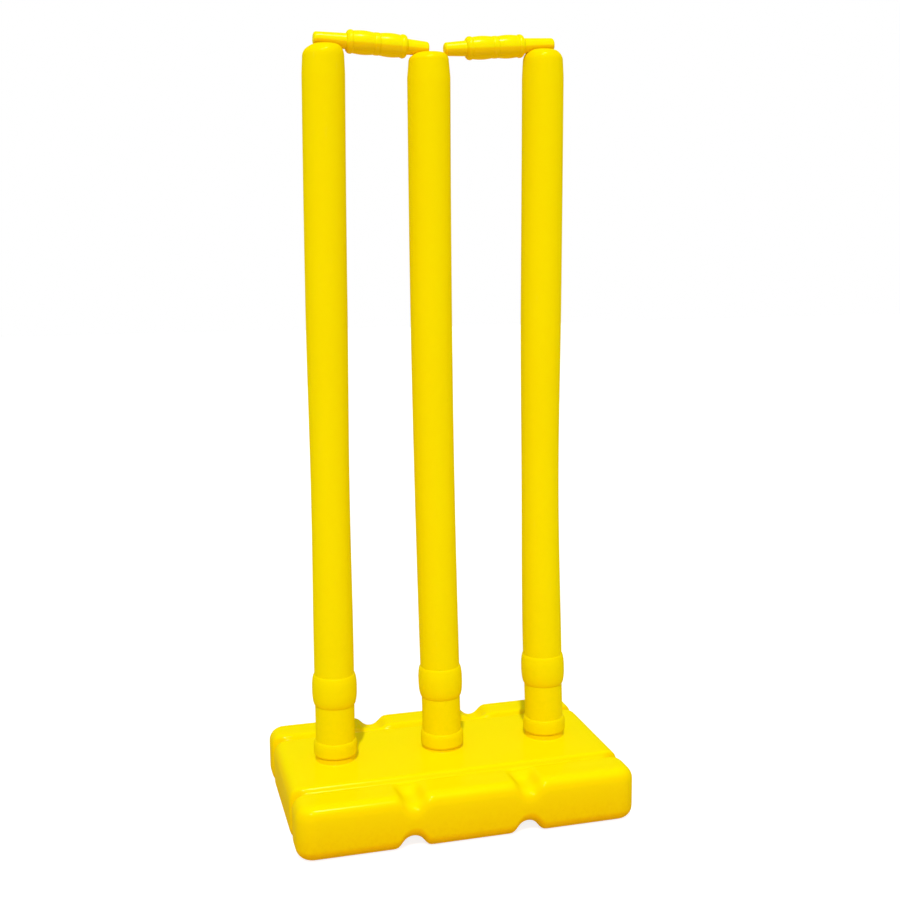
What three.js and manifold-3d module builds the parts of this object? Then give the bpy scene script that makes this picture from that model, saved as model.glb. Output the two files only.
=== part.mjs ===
// Cricket stumps for practice: three moulded stumps with two bails, standing in
// the sockets of a hollow base that is weighted with water or sand.
// Millimetres, +Z up. The origin is on the ground under the middle of the base,
// X runs along the row of stumps and the bowler's side is at -Y.

import * as THREE from 'three';
import Module from 'manifold-3d';
import { mergeVertices } from 'three/addons/utils/BufferGeometryUtils.js';

const wasm = await Module();
wasm.setup();

// Gaps between pieces
const seatGap = 0.3;
const socketGap = 0.65;
const tipGap = 1.5;

// Base moulding
const baseLength = 319;
const baseWidth = 210;
const baseHeight = 51;
const baseWall = 3;
const cornerRadius = 16;
const edgeRadius = 12;

// Longitudinal grooves, one each side of the row, running right round the base
const grooveOffset = 63.5;
const grooveDepth = 5.5;
const endGrooveDepth = 7.6;
const grooveFloorRadius = 5.5;
const grooveLipRadius = 4;

// Cross channels between the lobes: scoops on top, arches underneath
const channelOffset = 54.1;
const scoopDepth = 9;
const scoopFloorRadius = 12;
const scoopLipRadius = 8;
const scoopFade = 17;
const archHeight = 11;
const archCrownRadius = 12.5;
const archLipRadius = 5.5;

// Sockets for the stumps, in a row that sits a little to the left
const stumpSpacing = 105.4;
const rowOffset = -1.2;
const bossHeight = 5.6;
const middleSeatDrop = 2.2;
const bossRadius = 18.7;
const bossWall = 2.7;
const bossFillet = 1.6;
const bossRim = 0.8;
const socketTaper = 0.5;
const socketFloor = 7;

// Filler plug in the back of the middle lobe
const plugRecessRadius = 13.6;
const plugRecessDepth = 3;
const fillerRadius = 10.4;
const plugLength = 12;
const plugTaper = 0.4;
const plugDishRadius = 9.6;
const plugDishDepth = 1.5;
const plugGrip = 3;
const plugEdge = 0.7;

// Stump
const stumpHeight = 711;
const stumpTopRadius = 18.85;
const stumpFootRadius = 18.65;
const stumpWall = 2.2;
const waistHeight = 254;
const waistReach = 170;
const domeTaper = 14;
const crownThickness = 3;
const spigotChamfer = 1.5;

// Collars near the foot of a stump, from the bottom up
const beadRadius = 20.7;
const beadHeight = 14.6;
const beadUnder = 3.6;
const beadShoulder = 4.4;
const neckRadius = 18.6;
const neckHeight = 34.6;
const bulgeRadius = 21.2;
const bulgeTuck = 14.5;
const bulgeBand = 3;
const bulgeShoulder = 12.7;

// Heads of the stumps: how far the crown has settled, the dome round it, and the
// depth of the bail's seat across it
const leftHead = { drop: 1.7, domeHeight: 11.5, domeRadius: 18.3, crownRadius: 7.5, seatDepth: 4.7 };
const middleHead = { drop: 4.6, domeHeight: 6, domeRadius: 17.5, crownRadius: 11.5, seatDepth: 3.2 };
const rightHead = { drop: 1.7, domeHeight: 11, domeRadius: 18.1, crownRadius: 8, seatDepth: 3.7 };
const seatRadius = 7.1;
const seatLipRadius = 2.4;

// Bails, whose barrels fill what their spigots leave of the spacing
const bailShort = 2.2;
const longSpigot = 28.8;
const shortSpigot = 19.4;
const leftOverhang = 8.1;
const rightOverhang = 9.6;
const spigotTipRadius = 5.9;
const spigotRootRadius = 6.8;
const spigotRound = 2;
const ringRadius = 10.4;
const ringWidth = 5.6;
const ringRound = 2.6;
const ringStep = 0.6;
const middleRingRadius = 9.8;
const beadingNeckRadius = 9.4;
const beadingRadius = 9.9;

// What sets the stumps apart: a lean in the socket in degrees, a bow of the whole
// length along X, and how far the waist has drawn in.
const leftSet = { lean: 0.41, bow: -0.85, waist: 1 };
const middleSet = { lean: -0.54, bow: -2.6, waist: 0.1 };
const rightSet = { lean: -0.285, bow: -3, waist: 1.3 };

// Fineness of round forms
const stumpSides = 24;
const boreSides = 12;
const bailSides = 16;
const plugSides = 24;
const bodyRings = 7;
const edgeSteps = { skin: 4, cavity: 2 };
const fluteSteps = { skin: 3, cavity: 2, seat: 5 };
const smallArcSteps = 2;
const collarSteps = 3;
const beadingSteps = 4;
const bulgeSteps = 5;
const domeSteps = 5;
const overrun = 1;

const mouldedYellow = 0xf9de02;
const shadedYellow = 0xf1d404;

function plastic(color) {
  return new THREE.MeshStandardMaterial({ color, roughness: 0.38, metalness: 0 });
}

function toManifold(geometry) {
  const plain = geometry.clone();
  plain.deleteAttribute('normal');
  plain.deleteAttribute('uv');
  const merged = mergeVertices(plain);
  const vertProperties = new Float32Array(merged.attributes.position.array);
  const triVerts = new Uint32Array(merged.index.array);
  const mesh = new wasm.Mesh({ numProp: 3, vertProperties, triVerts });
  return new wasm.Manifold(mesh);
}

function toGeometry(solid) {
  const mesh = solid.getMesh();
  const geometry = new THREE.BufferGeometry();
  geometry.setAttribute('position', new THREE.BufferAttribute(mesh.vertProperties, 3));
  geometry.setIndex(new THREE.BufferAttribute(mesh.triVerts, 1));
  geometry.computeVertexNormals();
  return geometry;
}

// Adds part of an ellipse to an outline of (radius, height) points.
function addArc(outline, radius, height, radial, axial, fromDegrees, toDegrees, steps) {
  for (let step = 0; step <= steps; step += 1) {
    const angle = THREE.MathUtils.degToRad(fromDegrees + (toDegrees - fromDegrees) * step / steps);
    outline.push(new THREE.Vector2(
      radius + radial * Math.cos(angle),
      height + axial * Math.sin(angle),
    ));
  }
}

function point(radius, height) {
  return new THREE.Vector2(radius, height);
}

// Turns an outline about the Z axis.
function turned(outline, sides) {
  const geometry = new THREE.LatheGeometry(outline, sides);
  geometry.rotateX(Math.PI / 2);
  return geometry;
}

// Depth of a round-bottomed flute at a distance from its centre line: one arc is
// its floor, and a tangent arc each side rounds its lip.
function flute(distance, depth, floorRadius, lipRadius) {
  const across = Math.abs(distance);
  const span = floorRadius + lipRadius;
  const lipCentre = fluteHalfWidth(depth, floorRadius, lipRadius);
  if (across >= lipCentre) {
    return 0;
  }
  if (across > lipCentre * floorRadius / span) {
    return lipRadius - Math.sqrt(lipRadius ** 2 - (lipCentre - across) ** 2);
  }
  return depth - floorRadius + Math.sqrt(floorRadius ** 2 - across ** 2);
}

function fluteHalfWidth(depth, floorRadius, lipRadius) {
  const span = floorRadius + lipRadius;
  return Math.sqrt(span ** 2 - (span - depth) ** 2);
}

// How far a rounded edge falls away at a distance inside the outline.
function edgeFall(inside, radius) {
  if (inside >= radius) {
    return 0;
  }
  return radius - Math.sqrt(radius ** 2 - (radius - Math.max(inside, 0)) ** 2);
}

// The base as a shape that can be shrunk by its wall: its outer skin has inset
// zero and its cavity has the wall as its inset, so both are parallel.
function baseForm(inset) {
  const halfWidth = baseWidth / 2 - inset;
  const corner = cornerRadius - inset;
  const edge = edgeRadius - inset;

  function groove(y, depth) {
    const across = Math.abs(y) - grooveOffset;
    return flute(across, depth, grooveFloorRadius + inset, grooveLipRadius - inset);
  }

  function halfLength(y) {
    const past = Math.max(Math.abs(y) - (halfWidth - corner), 0);
    const cut = corner - Math.sqrt(Math.max(corner ** 2 - past ** 2, 0));
    return baseLength / 2 - inset - groove(y, endGrooveDepth) - cut;
  }

  function insideBy(x, y) {
    const past = Math.abs(y) - (halfWidth - corner);
    const end = baseLength / 2 - inset - groove(y, endGrooveDepth);
    const beyond = Math.abs(x) - (end - corner);
    if (past > 0 && beyond > 0) {
      return corner - Math.hypot(past, beyond);
    }
    return corner - Math.max(past, beyond);
  }

  function scoop(x, y) {
    const run = THREE.MathUtils.smoothstep(Math.abs(y), grooveOffset, grooveOffset + scoopFade);
    const across = Math.abs(x) - channelOffset;
    return run * flute(across, scoopDepth, scoopFloorRadius + inset, scoopLipRadius - inset);
  }

  function arch(x) {
    const across = Math.abs(x) - channelOffset;
    return flute(across, archHeight, archCrownRadius + inset, archLipRadius - inset);
  }

  function top(x, y) {
    const sunk = groove(y, grooveDepth) + scoop(x, y);
    return baseHeight - inset - edgeFall(insideBy(x, y), edge) - sunk;
  }

  function bottom(x, y) {
    return inset + edgeFall(insideBy(x, y), edge) + groove(y, grooveDepth) + arch(x);
  }

  return { halfWidth, edge, halfLength, top, bottom };
}

// Distances from the middle at which a half of the base is cut into strips.
function edgePlaces(edge, steps) {
  const places = [];
  for (let step = 0; step <= steps; step += 1) {
    places.push(edge * (1 - Math.cos(Math.PI / 2 * step / steps)));
  }
  return places;
}

function flutePlaces(centre, halfWidth, steps) {
  const places = [];
  for (let step = -steps; step <= steps; step += 1) {
    places.push(centre + halfWidth * Math.sin(Math.PI / 2 * step / steps));
  }
  return places;
}

// A closed skin over the base form: a row of points across the top and one
// across the bottom at each station along Y, joined by the ends and two caps.
function baseSkin(inset, edgeCuts, fluteCuts) {
  const form = baseForm(inset);
  const channelHalf = fluteHalfWidth(scoopDepth, scoopFloorRadius, scoopLipRadius);
  const grooveHalf = fluteHalfWidth(grooveDepth, grooveFloorRadius, grooveLipRadius);
  const fadeEnd = grooveOffset + scoopFade;
  const rail = grooveOffset + grooveHalf;
  const stationsOut = [
    ...flutePlaces(grooveOffset, grooveHalf, fluteCuts),
    (rail + fadeEnd) / 2,
    fadeEnd,
    ...edgePlaces(form.edge, edgeCuts).reverse().map((place) => form.halfWidth - place),
  ];
  const stations = [...stationsOut.map((y) => -y).reverse(), ...stationsOut];
  const inner = flutePlaces(channelOffset, channelHalf, fluteCuts);
  const ends = edgePlaces(form.edge, edgeCuts).reverse();

  const positions = [];
  for (const y of stations) {
    const half = form.halfLength(y);
    const xOut = [...inner, ...ends.map((place) => half - place)];
    const row = [...xOut.map((x) => -x).reverse(), ...xOut];
    for (const x of row) {
      positions.push(x, y, form.top(x, y));
    }
    for (const x of row) {
      positions.push(x, y, form.bottom(x, y));
    }
  }

  const count = 2 * (inner.length + ends.length);
  const indices = [];
  const vertex = (station, level, place) => (station * 2 + level) * count + place;
  const quad = (a, b, c, d) => indices.push(a, b, c, a, c, d);
  for (let s = 0; s < stations.length - 1; s += 1) {
    for (let i = 0; i < count - 1; i += 1) {
      quad(vertex(s, 0, i), vertex(s, 0, i + 1), vertex(s + 1, 0, i + 1), vertex(s + 1, 0, i));
      quad(vertex(s, 1, i), vertex(s + 1, 1, i), vertex(s + 1, 1, i + 1), vertex(s, 1, i + 1));
    }
    const end = count - 1;
    quad(vertex(s, 0, 0), vertex(s + 1, 0, 0), vertex(s + 1, 1, 0), vertex(s, 1, 0));
    quad(vertex(s, 1, end), vertex(s + 1, 1, end), vertex(s + 1, 0, end), vertex(s, 0, end));
  }
  const last = stations.length - 1;
  for (let i = 0; i < count - 1; i += 1) {
    quad(vertex(0, 1, i), vertex(0, 1, i + 1), vertex(0, 0, i + 1), vertex(0, 0, i));
    quad(vertex(last, 0, i), vertex(last, 0, i + 1), vertex(last, 1, i + 1), vertex(last, 1, i));
  }

  const geometry = new THREE.BufferGeometry();
  geometry.setAttribute('position', new THREE.Float32BufferAttribute(positions, 3));
  geometry.setIndex(indices);
  return geometry;
}

const socketRadius = bossRadius - bossWall;

// Top of the boss that a stump's bead stands over.
function bossTop(drop) {
  return baseHeight + bossHeight - drop;
}

function bossSolid(drop) {
  const top = bossTop(drop);
  const outline = [point(0, baseHeight - baseWall)];
  outline.push(point(bossRadius + bossFillet, baseHeight - baseWall));
  const foot = bossRadius + bossFillet;
  addArc(outline, foot, baseHeight + bossFillet, bossFillet, bossFillet, 270, 180, collarSteps);
  addArc(outline, bossRadius - bossRim, top - bossRim, bossRim, bossRim, 0, 90, smallArcSteps);
  outline.push(point(0, top));
  return toManifold(turned(outline, stumpSides));
}

function socketCup() {
  const radius = socketRadius + baseWall;
  const outline = [
    point(0, 0),
    point(radius, 0),
    point(radius, baseHeight),
    point(0, baseHeight),
  ];
  return toManifold(turned(outline, stumpSides));
}

function socketBore(drop) {
  const top = bossTop(drop) + overrun;
  const outline = [
    point(0, socketFloor),
    point(socketRadius - socketTaper, socketFloor),
    point(socketRadius, top),
    point(0, top),
  ];
  return toManifold(turned(outline, stumpSides));
}

// A round bar along Y, from one depth to another behind the back face.
function backBar(radius, from, to) {
  const geometry = new THREE.CylinderGeometry(radius, radius, to - from, plugSides);
  geometry.translate(0, baseWidth / 2 - (from + to) / 2, baseHeight / 2);
  return toManifold(geometry);
}

function buildBase() {
  const fillerDepth = plugRecessDepth + baseWall;
  let shell = toManifold(baseSkin(0, edgeSteps.skin, fluteSteps.skin));
  let cavity = toManifold(baseSkin(baseWall, edgeSteps.cavity, fluteSteps.cavity));
  cavity = cavity.subtract(backBar(plugRecessRadius + baseWall, -overrun, fillerDepth));
  const sockets = [
    { x: rowOffset - stumpSpacing, drop: 0 },
    { x: rowOffset, drop: middleSeatDrop },
    { x: rowOffset + stumpSpacing, drop: 0 },
  ];
  for (const { x, drop } of sockets) {
    shell = shell.add(bossSolid(drop).translate(x, 0, 0));
    cavity = cavity.subtract(socketCup().translate(x, 0, 0));
  }
  shell = shell.subtract(cavity);
  for (const { x, drop } of sockets) {
    shell = shell.subtract(socketBore(drop).translate(x, 0, 0));
  }
  shell = shell.subtract(backBar(plugRecessRadius, -overrun, plugRecessDepth));
  shell = shell.subtract(backBar(fillerRadius, 0, fillerDepth + overrun));
  return toGeometry(shell);
}

// Heights of a stump's collars, from the top of its boss.
const beadFoot = seatGap;
const beadTop = beadFoot + beadHeight;
const neckTop = beadTop + neckHeight;
const bulgeTop = neckTop + bulgeTuck + bulgeBand + bulgeShoulder;
const stumpLength = stumpHeight - bossTop(0);

// Adds the long body of a stump, or of its bore: a slow taper, with a shallow
// waist where the wall has drawn in.
function addBody(outline, inset, waist, from, to) {
  for (let ring = 1; ring < bodyRings; ring += 1) {
    const share = ring / bodyRings;
    const height = THREE.MathUtils.lerp(from, to, share);
    const straight = THREE.MathUtils.lerp(stumpFootRadius, stumpTopRadius, share) - inset;
    const away = Math.min(Math.abs(height - waistHeight) / waistReach, 1);
    outline.push(point(straight - waist * (1 + Math.cos(Math.PI * away)) / 2, height));
  }
}

// A stump stands on the top of its boss, at height zero here.
function stumpOuter(head, waist) {
  const tip = -(baseHeight + bossHeight - middleSeatDrop - socketFloor - tipGap);
  const spigotRadius = socketRadius - socketGap;
  const tipRadius = spigotRadius - socketTaper;
  const crown = stumpLength - head.drop;
  const domeFoot = crown - head.domeHeight;
  const outline = [point(0, tip)];
  outline.push(point(tipRadius - spigotChamfer, tip));
  outline.push(point(tipRadius, tip + spigotChamfer));
  outline.push(point(spigotRadius, beadFoot));
  addArc(outline, bossRadius, beadFoot + beadUnder, beadRadius - bossRadius, beadUnder, -90, 0, collarSteps);
  const beadOut = beadRadius - neckRadius;
  addArc(outline, neckRadius, beadTop - beadShoulder, beadOut, beadShoulder, 0, 90, collarSteps);
  const bulgeOut = bulgeRadius - neckRadius;
  addArc(outline, neckRadius, neckTop + bulgeTuck, bulgeOut, bulgeTuck, -90, 0, bulgeSteps);
  const shoulderOut = bulgeRadius - stumpFootRadius;
  const shoulder = bulgeTop - bulgeShoulder;
  addArc(outline, stumpFootRadius, shoulder, shoulderOut, bulgeShoulder, 0, 90, bulgeSteps);
  addBody(outline, 0, waist, bulgeTop, domeFoot - domeTaper);
  outline.push(point(stumpTopRadius, domeFoot - domeTaper));
  const domeOut = head.domeRadius - head.crownRadius;
  addArc(outline, head.crownRadius, domeFoot, domeOut, head.domeHeight, 0, 90, domeSteps);
  outline.push(point(0, crown));
  return toManifold(turned(outline, stumpSides));
}

// The hollow inside, open at the tip of the spigot.
function stumpInner(head, waist) {
  const throat = socketRadius - socketGap - socketTaper - stumpWall;
  const crown = stumpLength - head.drop - head.seatDepth - crownThickness;
  const domeFoot = crown - head.domeHeight;
  const domeOut = head.domeRadius - stumpWall - head.crownRadius;
  const outline = [
    point(0, -bossTop(0)),
    point(throat, -bossTop(0)),
    point(throat, beadFoot + stumpWall),
    point(neckRadius - stumpWall, beadTop),
    point(neckRadius - stumpWall, bulgeTop),
  ];
  addBody(outline, stumpWall, waist, bulgeTop, domeFoot);
  addArc(outline, head.crownRadius, domeFoot, domeOut, head.domeHeight, 0, 90, collarSteps);
  outline.push(point(0, crown));
  return toManifold(turned(outline, boreSides));
}

// The seat across the dome is a flute whose lips round over into the crown.
function bailSeat({ drop, seatDepth }) {
  const crown = stumpLength - drop;
  const half = fluteHalfWidth(seatDepth, seatRadius, seatLipRadius);
  const shape = new THREE.Shape();
  shape.moveTo(half, crown + overrun);
  shape.lineTo(-half, crown + overrun);
  for (const y of flutePlaces(0, half, fluteSteps.seat)) {
    shape.lineTo(y, crown - flute(y, seatDepth, seatRadius, seatLipRadius));
  }
  shape.closePath();
  const reach = 2 * (stumpTopRadius + overrun);
  const geometry = new THREE.ExtrudeGeometry(shape, { depth: reach, bevelEnabled: false });
  geometry.translate(0, 0, -reach / 2);
  geometry.rotateX(Math.PI / 2);
  geometry.rotateZ(Math.PI / 2);
  return toManifold(geometry);
}

// Bows a stump along X between its boss and its crown, most at the middle.
function bowed(geometry, bow) {
  const { position } = geometry.attributes;
  for (let i = 0; i < position.count; i += 1) {
    const share = THREE.MathUtils.clamp(position.getZ(i) / stumpLength, 0, 1);
    const fromMiddle = 2 * share - 1;
    position.setX(i, position.getX(i) + bow * (1 - fromMiddle ** 2));
  }
  geometry.computeVertexNormals();
  return geometry;
}

function buildStump(head, { bow, waist }) {
  const solid = stumpOuter(head, waist)
    .subtract(stumpInner(head, waist))
    .subtract(bailSeat(head));
  return bowed(toGeometry(solid), bow);
}

const bailLength = stumpSpacing - bailShort;
const barrelLength = bailLength - longSpigot - shortSpigot;

// Radius of a bail's long spigot at a distance from its tip.
function longSpigotRadius(along) {
  return spigotTipRadius + (spigotRootRadius - spigotTipRadius) * along / longSpigot;
}

// Adds a ring with a rounding at its near side and one at its far side.
function addRing(outline, radius, from, near, far) {
  const to = from + ringWidth;
  addArc(outline, radius - near, from + near, near, near, -90, 0, smallArcSteps);
  addArc(outline, radius - far, to - far, far, far, 0, 90, smallArcSteps);
}

function addBeading(outline, from, to) {
  const swell = beadingRadius - beadingNeckRadius;
  addArc(outline, beadingNeckRadius, (from + to) / 2, swell, (to - from) / 2, -90, 90, beadingSteps);
}

// A turned bail with its long spigot's tip at the origin, lying along +X.
function buildBail() {
  const barrelEnd = longSpigot + barrelLength;
  const middleFrom = longSpigot + (barrelLength - ringWidth) / 2;
  const outline = [point(0, 0)];
  const flat = spigotTipRadius - spigotRound;
  addArc(outline, flat, spigotRound, spigotRound, spigotRound, -90, 0, smallArcSteps);
  outline.push(point(spigotRootRadius, longSpigot));
  addRing(outline, ringRadius, longSpigot, ringRound, ringStep);
  addBeading(outline, longSpigot + ringWidth, middleFrom);
  addRing(outline, middleRingRadius, middleFrom, ringStep, ringStep);
  addBeading(outline, middleFrom + ringWidth, barrelEnd - ringWidth);
  addRing(outline, ringRadius, barrelEnd - ringWidth, ringStep, ringRound);
  outline.push(point(spigotRootRadius, barrelEnd));
  const tipRound = bailLength - spigotRound;
  addArc(outline, flat, tipRound, spigotRound, spigotRound, 0, 90, smallArcSteps);
  outline.push(point(0, bailLength));
  const geometry = turned(outline, bailSides);
  geometry.rotateY(Math.PI / 2);
  return toGeometry(toManifold(geometry));
}

// A push-in plug along +Y, with its flange's face at the origin.
function buildPlug() {
  const flangeRadius = plugRecessRadius - seatGap;
  const flangeDepth = plugRecessDepth - seatGap;
  const stemRadius = fillerRadius - seatGap;
  const tip = flangeDepth + plugLength;
  const outline = [
    point(0, 0),
    point(flangeRadius - plugEdge, 0),
    point(flangeRadius, plugEdge),
    point(flangeRadius, flangeDepth),
    point(stemRadius, flangeDepth),
    point(stemRadius - plugTaper, tip - plugEdge),
    point(stemRadius - plugTaper - plugEdge, tip),
    point(0, tip),
  ];
  const dish = [
    point(0, -overrun),
    point(plugDishRadius, -overrun),
    point(plugDishRadius, 0),
    point(plugDishRadius - plugEdge, plugDishDepth),
    point(0, plugDishDepth),
  ];
  const bar = new THREE.BoxGeometry(2 * flangeRadius, plugGrip, 2 * (plugDishDepth + overrun));
  const cut = toManifold(turned(dish, plugSides)).subtract(toManifold(bar));
  const solid = toManifold(turned(outline, plugSides)).subtract(cut);
  const geometry = toGeometry(solid);
  geometry.rotateX(Math.PI / 2);
  return geometry;
}

function named(name, geometry, color) {
  const mesh = new THREE.Mesh(geometry, plastic(color));
  mesh.name = name;
  return mesh;
}

const wicket = new THREE.Group();
wicket.add(named('base', buildBase(), mouldedYellow));

// Stumps, each leaning a little about the top of its socket
const stumps = [
  {
    name: 'left_stump',
    x: rowOffset - stumpSpacing,
    drop: 0,
    set: leftSet,
    geometry: buildStump(leftHead, leftSet),
  },
  {
    name: 'middle_stump',
    x: rowOffset,
    drop: middleSeatDrop,
    set: middleSet,
    geometry: buildStump(middleHead, middleSet),
  },
  {
    name: 'right_stump',
    x: rowOffset + stumpSpacing,
    drop: 0,
    set: rightSet,
    geometry: buildStump(rightHead, rightSet),
  },
];
for (const { name, x, drop, set, geometry } of stumps) {
  const mesh = named(name, geometry, mouldedYellow);
  mesh.position.set(x, 0, bossTop(drop));
  mesh.rotation.y = THREE.MathUtils.degToRad(set.lean);
  wicket.add(mesh);
}

function crownX(x, { lean }) {
  return x + stumpLength * Math.tan(THREE.MathUtils.degToRad(lean));
}

// How far from a stump's axis the floor of its bail seat meets the dome.
function seatReach({ seatDepth, domeHeight, domeRadius, crownRadius }) {
  const share = Math.min(seatDepth / domeHeight, 1);
  return crownRadius + (domeRadius - crownRadius) * Math.sqrt(1 - (1 - share) ** 2);
}

// Bails: the long spigot bears on the inner end of an outer stump's seat, and the
// tip of the short spigot lies in the middle stump's deeper seat.
const bails = [
  {
    name: 'left_bail',
    crown: crownX(rowOffset - stumpSpacing, leftSet),
    sense: 1,
    overhang: leftOverhang,
    head: leftHead,
  },
  {
    name: 'right_bail',
    crown: crownX(rowOffset + stumpSpacing, rightSet),
    sense: -1,
    overhang: rightOverhang,
    head: rightHead,
  },
];
for (const { name, crown, sense, overhang, head } of bails) {
  const bearing = overhang + seatReach(head);
  const outerSeat = stumpHeight - head.drop - head.seatDepth;
  const middleSeat = stumpHeight - middleSeatDrop - middleHead.drop - middleHead.seatDepth;
  const outerAxis = outerSeat + longSpigotRadius(bearing) + seatGap;
  const innerAxis = middleSeat + spigotTipRadius + seatGap;
  const slope = Math.atan2(outerAxis - innerAxis, bailLength - bearing);
  const mesh = named(name, buildBail(), shadedYellow);
  mesh.position.set(crown - sense * overhang, 0, outerAxis + bearing * Math.tan(slope));
  mesh.rotation.set(0, slope, sense > 0 ? 0 : Math.PI, 'ZYX');
  wicket.add(mesh);
}

const plug = named('filler_plug', buildPlug(), shadedYellow);
plug.position.set(0, baseWidth / 2 - seatGap, baseHeight / 2);
wicket.add(plug);

export default wicket;
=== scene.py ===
"""Looks of the cricket stumps: finely moulded forms, yellow plastic, floor, lamps and camera.

Metres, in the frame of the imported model: the origin is on the ground under the
middle of the base, X runs along the row of stumps and the bowler's side is at -Y.
"""

import logging
import math
from dataclasses import dataclass, field
from enum import Enum
from typing import Callable

import bmesh
import bpy
from mathutils import Matrix, Vector

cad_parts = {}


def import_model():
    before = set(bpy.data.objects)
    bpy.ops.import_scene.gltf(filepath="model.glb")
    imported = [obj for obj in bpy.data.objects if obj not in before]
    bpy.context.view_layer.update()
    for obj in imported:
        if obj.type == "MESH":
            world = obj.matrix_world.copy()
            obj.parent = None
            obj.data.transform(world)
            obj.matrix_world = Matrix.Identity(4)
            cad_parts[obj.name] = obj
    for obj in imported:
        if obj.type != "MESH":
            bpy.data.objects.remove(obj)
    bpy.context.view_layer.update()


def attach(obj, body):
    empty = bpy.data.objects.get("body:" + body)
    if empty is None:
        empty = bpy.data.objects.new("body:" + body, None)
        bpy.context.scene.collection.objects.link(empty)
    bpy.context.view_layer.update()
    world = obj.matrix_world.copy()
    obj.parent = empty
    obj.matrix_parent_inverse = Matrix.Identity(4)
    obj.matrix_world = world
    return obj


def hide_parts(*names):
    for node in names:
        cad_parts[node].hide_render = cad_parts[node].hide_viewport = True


LOG = logging.getLogger("wicket")

SEAT_GAP = 0.0003
SOCKET_GAP = 0.00065
TIP_GAP = 0.0015
SHARP_DEGREES = 38.0
WHITE = (1.0, 1.0, 1.0, 1.0)

Form = bmesh.types.BMesh
Piece = bpy.types.Object
Socket = bpy.types.NodeSocket
Tree = bpy.types.NodeTree
Pair = tuple[float, float]
Triple = tuple[float, float, float]
Feed = Socket | float | tuple[float, ...]


class Slot(Enum):
    """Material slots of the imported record."""

    BASE = "base_plastic"
    STUMP = "stump_plastic"
    BAIL = "bail_plastic"
    PLUG = "plug_plastic"


class Sense(Enum):
    """Which way a bail points from its outer stump."""

    RIGHTWARDS = 0.0
    LEFTWARDS = math.pi


class Way(Enum):
    """How a part of a profile runs: straight, or as a quarter of an ellipse."""

    STRAIGHT = "straight"
    LEVEL = "leaving along the radius"
    STEEP = "leaving along the height"


# Form helpers


@dataclass(frozen=True)
class Flute:
    """A round-bottomed flute with rounded lips, by its depth and its two radii."""

    depth: float
    floor: float
    lip: float

    def sunk(self, distance: float) -> float:
        """Depth of the flute at a distance from its centre line.

        Args:
            distance: Distance from the centre line, of either sign.

        Returns:
            How far the surface sinks there, zero outside the flute.
        """
        across = abs(distance)
        span = self.floor + self.lip
        half_width = math.sqrt(span**2 - (span - self.depth) ** 2)
        if across >= half_width:
            return 0.0
        if across > half_width * self.floor / span:
            return self.lip - math.sqrt(self.lip**2 - (half_width - across) ** 2)
        return self.depth - self.floor + math.sqrt(self.floor**2 - across**2)


def smooth_step(value: float, low: float, high: float) -> float:
    """A share that rises smoothly from 0 to 1 as a value goes from low to high."""
    share = min(max((value - low) / (high - low), 0.0), 1.0)
    return share * share * (3.0 - 2.0 * share)


def smooth_min(first: float, second: float, blend: float) -> float:
    """The smaller of two heights, rounded over a blend's width where they cross."""
    share = min(max(0.5 + 0.5 * (second - first) / blend, 0.0), 1.0)
    return second * (1.0 - share) + first * share - blend * share * (1.0 - share)


def edge_fall(inside: float, radius: float) -> float:
    """How far an edge rounded to a radius falls away at a distance inside the outline."""
    short = min(max(radius - inside, 0.0), radius)
    return radius - math.sqrt(radius**2 - short**2)


@dataclass
class Outline:
    """A profile of (radius, height) points that is turned about the Z axis."""

    points: list[Pair] = field(default_factory=lambda: [(0.0, 0.0)])

    def to(self, radius: float, height: float, way: Way = Way.STRAIGHT, steps: int = 1) -> "Outline":
        """Adds a run from the last point.

        Args:
            radius: Radius of its end.
            height: Height of its end.
            way: How it gets there.
            steps: How many parts it is cut into.

        Returns:
            The outline.
        """
        from_radius, from_height = self.points[-1]
        for step in range(1, steps + 1):
            turn = math.pi / 2 * step / steps
            shares = {
                Way.STRAIGHT: (step / steps, step / steps),
                Way.LEVEL: (math.sin(turn), 1.0 - math.cos(turn)),
                Way.STEEP: (1.0 - math.cos(turn), math.sin(turn)),
            }
            out, up = shares[way]
            at_radius = from_radius + (radius - from_radius) * out
            self.points.append((at_radius, from_height + (height - from_height) * up))
        return self

    def turned(self, sides: int, place: Matrix = Matrix()) -> Form:
        """Spins the outline into a closed form and puts it in its place.

        Args:
            sides: How many parts the full turn is cut into.
            place: The matrix from the Z axis to the place.

        Returns:
            A new bmesh with its faces outwards.
        """
        bm = bmesh.new()
        verts = [bm.verts.new((radius, 0.0, height)) for radius, height in self.points]
        edges = [bm.edges.new(pair) for pair in zip(verts, verts[1:])]
        full = {"angle": 2.0 * math.pi, "steps": sides, "use_merge": True}
        bmesh.ops.spin(bm, geom=verts + edges, cent=(0.0, 0.0, 0.0), axis=(0.0, 0.0, 1.0), **full)
        bmesh.ops.remove_doubles(bm, verts=bm.verts[:], dist=1e-7)
        bmesh.ops.dissolve_degenerate(bm, dist=1e-8, edges=bm.edges[:])
        bmesh.ops.recalc_face_normals(bm, faces=bm.faces[:])
        bmesh.ops.transform(bm, matrix=place, verts=bm.verts[:])
        return bm


def shade_smooth(mesh: bpy.types.Mesh, sharp_degrees: float) -> None:
    """Shades a mesh smooth, with the edges that turn by more than the angle kept crisp."""
    mesh.polygons.foreach_set("use_smooth", [True] * len(mesh.polygons))
    mesh.set_sharp_from_angle(angle=math.radians(sharp_degrees))


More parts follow.
